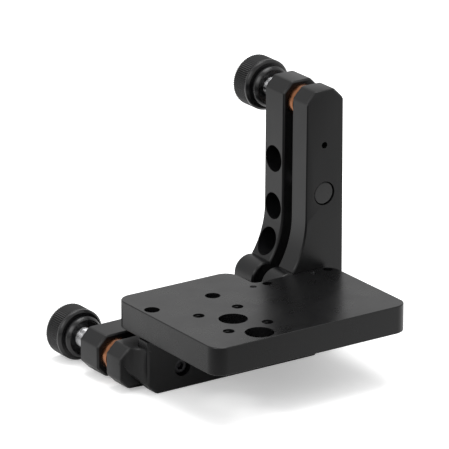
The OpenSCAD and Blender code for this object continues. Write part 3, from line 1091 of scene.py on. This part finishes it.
@dataclass
class Fasteners:
    """The cap screws and dowel pins that hold the platform, and the block's cap screw."""

    head_height: float = 2.2 * MM
    shank_radius: float = 1.25 * MM
    key_across: float = 2.0 * MM
    key_depth: float = 1.5 * MM
    dowel_edge: float = 0.25 * MM

    def _cap_screw(self, head_radius: float, length: float) -> list[Ring]:
        """Writes a cap screw's section, with the head's top at 0 and the shank along -Z.

        Args:
            head_radius: Radius of the head.
            length: Whole length.

        Returns:
            The stations.
        """
        half_key = self.key_across / 2
        return [
            Ring(0, -length),
            Ring(self.shank_radius - 0.2 * MM, -length),
            Ring(self.shank_radius, 0.2 * MM - length),
            Ring(self.shank_radius, -self.head_height),
            Ring(head_radius - 0.05 * MM, -self.head_height),
            Ring(head_radius, -self.head_height + 0.15 * MM),
            Ring(head_radius, -0.35 * MM),
            Ring(head_radius - 0.12 * MM, -0.12 * MM),
            Ring(head_radius - 0.4 * MM, 0),
            Ring(half_key * 1.25, 0),
            Ring(half_key, -0.12 * MM, hexagon=True),
            Ring(half_key, -self.key_depth, hexagon=True),
            Ring(0, -self.key_depth - 0.3 * MM),
        ]

    def build(self) -> None:
        """Builds all of them."""
        low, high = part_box("platform_screws")
        radius = (high.y - low.y) / 2
        y = (low.y + high.y) / 2
        tops = [Vector((x, y, high.z)) for x in (low.x + radius, high.x - radius)]
        rings = self._cap_screw(radius, high.z - low.z)
        turned_piece(
            "platform_cap_screws", rings, Axis.Z, tops, BLACK_SCREW, ["platform_screws"]
        )
        low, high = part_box("block_screw")
        radius = (high.x - low.x) / 2
        length = high.y - low.y
        rings = [Ring(r.radius, -r.at, r.hexagon) for r in self._cap_screw(radius, length)]
        front = Vector(((low.x + high.x) / 2, low.y, (low.z + high.z) / 2))
        turned_piece("block_cap_screw", rings, Axis.Y, [front], BLACK_SCREW, ["block_screw"])
        low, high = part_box("dowel_pins")
        radius = (high.y - low.y) / 2
        length = high.z - low.z
        rings = pin_rings(radius, length, self.dowel_edge)
        y = (low.y + high.y) / 2
        feet = [Vector((x, y, low.z)) for x in (low.x + radius, high.x - radius)]
        turned_piece("ground_dowel_pins", rings, Axis.Z, feet, GROUND_STEEL, ["dowel_pins"])


@dataclass
class SpringSet:
    """The two springs with the pins that hold them and the plug over the upper one.

    Attributes:
        wire: Radius of the wire.
        front_lead: Straight length in front of the coil.
        rear_lead: Straight length from the coil to the rear pin.
        turns_each: Number of steps on each turn of a coil.
        pin_edge: Rounding of the pins' ends.
    """

    wire: float = 0.35 * MM
    front_lead: float = 1.6 * MM
    rear_lead: float = 2.4 * MM
    turns_each: int = 20
    pin_edge: float = 0.15 * MM

    def build(self) -> None:
        """Builds both springs, the pins and the plug."""
        self._spring("upper_spring", upright=True)
        self._spring("left_spring", upright=False)
        self._pins()
        self._plug()

    def _spring(self, node: str, upright: bool) -> None:
        """Builds one tight coil with its front lead and the ring around its rear pin.

        Args:
            node: The CAD spring.
            upright: Whether it is the upper spring, whose rear pin lies along X.
        """
        low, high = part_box(node)
        centre = (low + high) / 2
        coil_radius = (high.x - low.x) / 2 - self.wire
        ring_radius = spring_pin_radius() + self.wire + 0.02 * MM
        pin_y = high.y - ring_radius - self.wire
        coil_front = low.y + self.front_lead
        coil_rear = pin_y - spring_pin_radius() - self.rear_lead
        coils = (coil_rear - coil_front) / (2 * self.wire)
        points = [Vector((0, low.y, 0)), Vector((0, coil_front - self.wire, 0))]
        steps = round(coils * self.turns_each)
        for k in range(steps + 1):
            angle = math.tau * k / self.turns_each
            y = coil_front + (coil_rear - coil_front) * k / steps
            points.append(Vector((coil_radius * math.cos(angle), y, coil_radius * math.sin(angle))))
        points.append(Vector((0, coil_rear + self.wire, 0)))
        for k in range(self.turns_each - 1):
            angle = -math.pi / 2 + math.tau * k / self.turns_each
            y = pin_y + ring_radius * math.sin(angle)
            points.append(Vector((0, y, ring_radius * math.cos(angle))))
        if not upright:
            points = [Vector((-p.z, p.y, -p.x)) for p in points]
        curve = bpy.data.curves.new(node + "_line", "CURVE")
        curve.dimensions = "3D"
        spline = curve.splines.new("POLY")
        spline.points.add(len(points) - 1)
        for slot, point in zip(spline.points, points, strict=True):
            slot.co = (centre.x + point.x, point.y, centre.z + point.z, 1)
        sizes = {"Wire Radius": self.wire, "Sides": 10, "Material": SPRING_STEEL.material()}
        mesh = run_tree(wire_tree(), new_object(node + "_line", curve), sizes)
        mesh.shade_smooth()
        mesh.set_sharp_from_angle(angle=math.radians(50))
        show(node.replace("spring", "coil_spring"), mesh, SPRING_STEEL, [node])

    def _pins(self) -> None:
        """Builds the pins behind and in front of the springs."""
        radius = spring_pin_radius()
        low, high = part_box("rear_spring_pins")
        y = (low.y + high.y) / 2
        upper, left = centre_of("upper_spring"), centre_of("left_spring")
        length = 2 * (high.x - upper.x)
        rings = pin_rings(radius, length, self.pin_edge)
        shell = bmesh.new()
        add_turned(shell, rings, Axis.X, Vector((upper.x - length / 2, y, upper.z)), False, 36)
        add_turned(shell, rings, Axis.Z, Vector((left.x, y, left.z - length / 2)), False, 36)
        name = "rear_anchor_pins"
        show(name, finished_mesh(shell, name), GROUND_STEEL, ["rear_spring_pins"])
        for node, axis in (("upper_spring_pin", Axis.X), ("left_spring_pin", Axis.Z)):
            low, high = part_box(node)
            length = max(high.x - low.x, high.z - low.z)
            middle = (low + high) / 2
            start = middle - (axis.value @ Vector((0, 0, length / 2)))
            rings = pin_rings(radius, length, self.pin_edge)
            name = node.replace("spring", "anchor")
            turned_piece(name, rings, axis, [start], GROUND_STEEL, [node])

    def _plug(self) -> None:
        """Builds the plug with its dished face over the upper spring's front end."""
        low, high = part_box("spring_plug")
        radius = (high.x - low.x) / 2
        length = high.y - low.y
        rings = [
            Ring(0, 0.02 * MM),
            Ring(radius - 0.6 * MM, 0),
            Ring(radius - 0.35 * MM, 0.06 * MM),
            Ring(radius, 0.4 * MM),
            Ring(radius, length),
            Ring(0, length),
        ]
        front = Vector(((low.x + high.x) / 2, low.y, (low.z + high.z) / 2))
        section = rounded(rings, 0.1 * MM, False)
        turned_piece("pocket_plug", section, Axis.Y, [front], KNOB, ["spring_plug"])


def spring_pin_radius() -> float:
    """Radius of the spring pins, from the CAD pin's box."""
    low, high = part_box("upper_spring_pin")
    return (high.z - low.z) / 2


@dataclass
class Seats:
    """The pivot ball and the hard seats that the three balls touch."""

    nodes: tuple[str, ...] = ("pivot_seat_front", "pivot_seat_rear", "groove_seat", "flat_seat")

    def build(self) -> None:
        """Dresses the CAD seats and builds the pivot's ball."""
        for node in self.nodes:
            mesh = frame["nodes"][node].data
            mesh.materials.clear()
            mesh.materials.append(SEAT_STEEL.material())
            LOG.info("%s dressed", node)
        ball_piece("pivot", "pivot_ball")


@dataclass
class TappedHoles:
    """The threads in the platform's tapped holes.

    Attributes:
        pitch: The threads' pitch.
        ridge: Height of a thread's ridge.
        tap_radius: Radius of the holes.
        pitch_x, pitch_y: Spacing of the holes.
        end_gap: Bare length at each end of a hole.
    """

    pitch: float = 0.7 * MM
    ridge: float = 0.24 * MM
    tap_radius: float = 1.65 * MM
    pitch_x: float = 13.0 * MM
    pitch_y: float = 14.8 * MM
    end_gap: float = 0.65 * MM

    def build(self) -> None:
        """Winds one thread in each tapped hole of the platform and joins them."""
        low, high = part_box("platform")
        length = high.z - low.z - 2 * self.end_gap
        xs, ys = (-self.pitch_x / 2, self.pitch_x / 2), (-self.pitch_y / 2, self.pitch_y / 2)
        shell = bmesh.new()
        for x, y in ((x, y) for x in xs for y in ys):
            start = new_object("thread_start", bpy.data.meshes.new("thread_start"))
            mesh = run_tree(
                thread_tree(),
                start,
                {
                    "Pitch": self.pitch,
                    "Ridge Radius": self.tap_radius + self.ridge * 0.45,
                    "Ridge Height": self.ridge,
                    "Length": length,
                    "Steps": 36,
                    "Start": Vector((x, y, low.z + self.end_gap)),
                    "Turn": (0, 0, 0),
                    "Material": PLATFORM.material(),
                },
            )
            shell.from_mesh(mesh)
            bpy.data.meshes.remove(mesh)
        mesh = finished_mesh(shell, "platform_threads")
        mesh.materials.append(PLATFORM.material())
        piece = new_object("platform_threads", mesh)
        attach(piece, frame["nodes"]["platform"]["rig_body"])
        LOG.info("platform_threads: %d faces", len(mesh.polygons))


# ---------------------------------------------------------------- studio


@dataclass(frozen=True)
class Softbox:
    """A soft square lamp that faces the part: its place, its width and its power in watts."""

    name: str
    at: tuple[float, float, float]
    width: float
    power: float


@dataclass
class Studio:
    """The floor, the light and the camera.

    Attributes:
        azimuth: Camera's direction round the part, in degrees; 0 looks along +Y.
        elevation: Camera's height above the horizon, in degrees.
        roll: Camera's roll, in degrees.
        distance: From the camera to the point it looks at.
        lens: Focal length in millimetres on a 36 mm sensor.
        target: The point that the camera looks at.
        floor_size: Width of the floor.
        room_light: Strength of the pale room around the part.
        seen_tone: The floor's tone as the camera sees it.
        seen_glow: The light that the floor adds to that.
        lamps: The soft lamps.
    """

    azimuth: float = -34.06
    elevation: float = 19.32
    roll: float = -0.08
    distance: float = 1.3716
    lens: float = 392.4
    target: Vector = field(default_factory=lambda: Vector((11.01 * MM, 20.5 * MM, 19.55 * MM)))
    floor_size: float = 12.0
    room_light: float = 0.85
    seen_tone: float = 0.92
    seen_glow: float = 0.35
    lamps: tuple[Softbox, ...] = (
        Softbox("overhead", (0.15, 0.1, 1.5), 1.0, 14),
        Softbox("left", (-1.3, -0.5, 1.0), 0.9, 7),
    )

    def build(self) -> None:
        """Builds the floor, the world, the lights and the camera."""
        scene = bpy.context.scene
        scene.view_settings.view_transform = "Standard"
        self._floor()
        self._world()
        for lamp in self.lamps:
            self._hang(lamp)
        self._camera()

    def _floor(self) -> None:
        """Lays the pale floor under the part."""
        z = CAD_BOX[0].z
        half = self.floor_size / 2
        mesh = bpy.data.meshes.new("floor")
        corners = [(-half, -half, z), (half, -half, z), (half, half, z), (-half, half, z)]
        mesh.from_pydata(corners, [], [(0, 1, 2, 3)])
        material = bpy.data.materials.new("pale_floor")
        material.use_nodes = True
        graph = Graph(material.node_tree)
        shader = material.node_tree.nodes["Principled BSDF"]
        shader.inputs["Roughness"].default_value = 0.9
        shader.inputs["Specular IOR Level"].default_value = 0.1
        # The camera sees a plain pale floor. What the part mirrors and is lit by darkens towards
        # the front, as in a studio with a dark side.
        place = graph.add("ShaderNodeTexCoord").outputs["Object"]
        along = graph.add("ShaderNodeVectorMath", operation="DOT_PRODUCT")
        graph.feed(along.inputs[0], place)
        along.inputs[1].default_value = (-0.6, -0.8, 0)
        fall = {"From Min": -30 * MM, "From Max": 150 * MM, "To Min": 0.9, "To Max": 0.0}
        fall["Value"] = along.outputs["Value"]
        shade = graph.add("ShaderNodeMapRange", fall, clamp=True)
        seen = graph.add("ShaderNodeLightPath").outputs["Is Camera Ray"]
        tone = graph.add("ShaderNodeMix", {"Factor": seen}, data_type="FLOAT")
        graph.feed(tone.inputs[2], shade.outputs[0])
        tone.inputs[3].default_value = self.seen_tone
        colour = graph.add("ShaderNodeCombineXYZ")
        for socket in colour.inputs:
            graph.feed(socket, tone.outputs[0])
        graph.feed(shader.inputs["Base Color"], colour.outputs[0])
        shader.inputs["Emission Color"].default_value = (1, 1, 1, 1)
        glow = graph.math("MULTIPLY", seen, self.seen_glow)
        graph.feed(shader.inputs["Emission Strength"], glow)
        mesh.materials.append(material)
        new_object("floor", mesh)

    def _world(self) -> None:
        """Lights the part evenly from a pale room."""
        world = bpy.data.worlds.new("room")
        bpy.context.scene.world = world
        world.use_nodes = True
        sky = world.node_tree.nodes["Background"]
        sky.inputs["Color"].default_value = (1, 1, 1, 1)
        sky.inputs["Strength"].default_value = self.room_light

    def _hang(self, box: Softbox) -> None:
        """Hangs a lamp so that it faces the part.

        Args:
            box: The lamp.
        """
        lamp = bpy.data.lights.new(box.name, "AREA")
        lamp.shape = "RECTANGLE"
        lamp.size = lamp.size_y = box.width
        lamp.energy = box.power
        at = Vector(box.at)
        holder = new_object(box.name, lamp)
        holder.location = at
        holder.rotation_euler = (-at).to_track_quat("-Z", "Y").to_euler()

    def _camera(self) -> None:
        """Sets up the camera."""
        az, el = math.radians(self.azimuth), math.radians(self.elevation)
        back = Vector((math.sin(az) * math.cos(el), -math.cos(az) * math.cos(el), math.sin(el)))
        data = bpy.data.cameras.new("camera")
        data.lens = self.lens
        data.sensor_width = 36
        data.clip_start, data.clip_end = 0.05, 50
        camera = new_object("camera", data)
        turn = (-back).to_track_quat("-Z", "Y").to_matrix().to_4x4()
        roll = Matrix.Rotation(math.radians(self.roll), 4, "Z")
        camera.matrix_world = Matrix.Translation(self.target + back * self.distance) @ turn @ roll
        bpy.context.scene.camera = camera


def main() -> None:
    """Builds the whole scene in order."""
    logging.basicConfig(level=logging.INFO, format="%(name)s: %(message)s")
    MilledPart("back_plate", PLATE).build()
    MilledPart("front_plate", PLATE, joint_at=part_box("platform")[0].z).build()
    MilledPart("platform", PLATFORM, edge=0.25 * MM).build()
    for side in ("upper", "left"):
        Adjuster(side).build()
    Fasteners().build()
    SpringSet().build()
    Seats().build()
    TappedHoles().build()
    Studio().build()


if __name__ == "__main__":
    main()
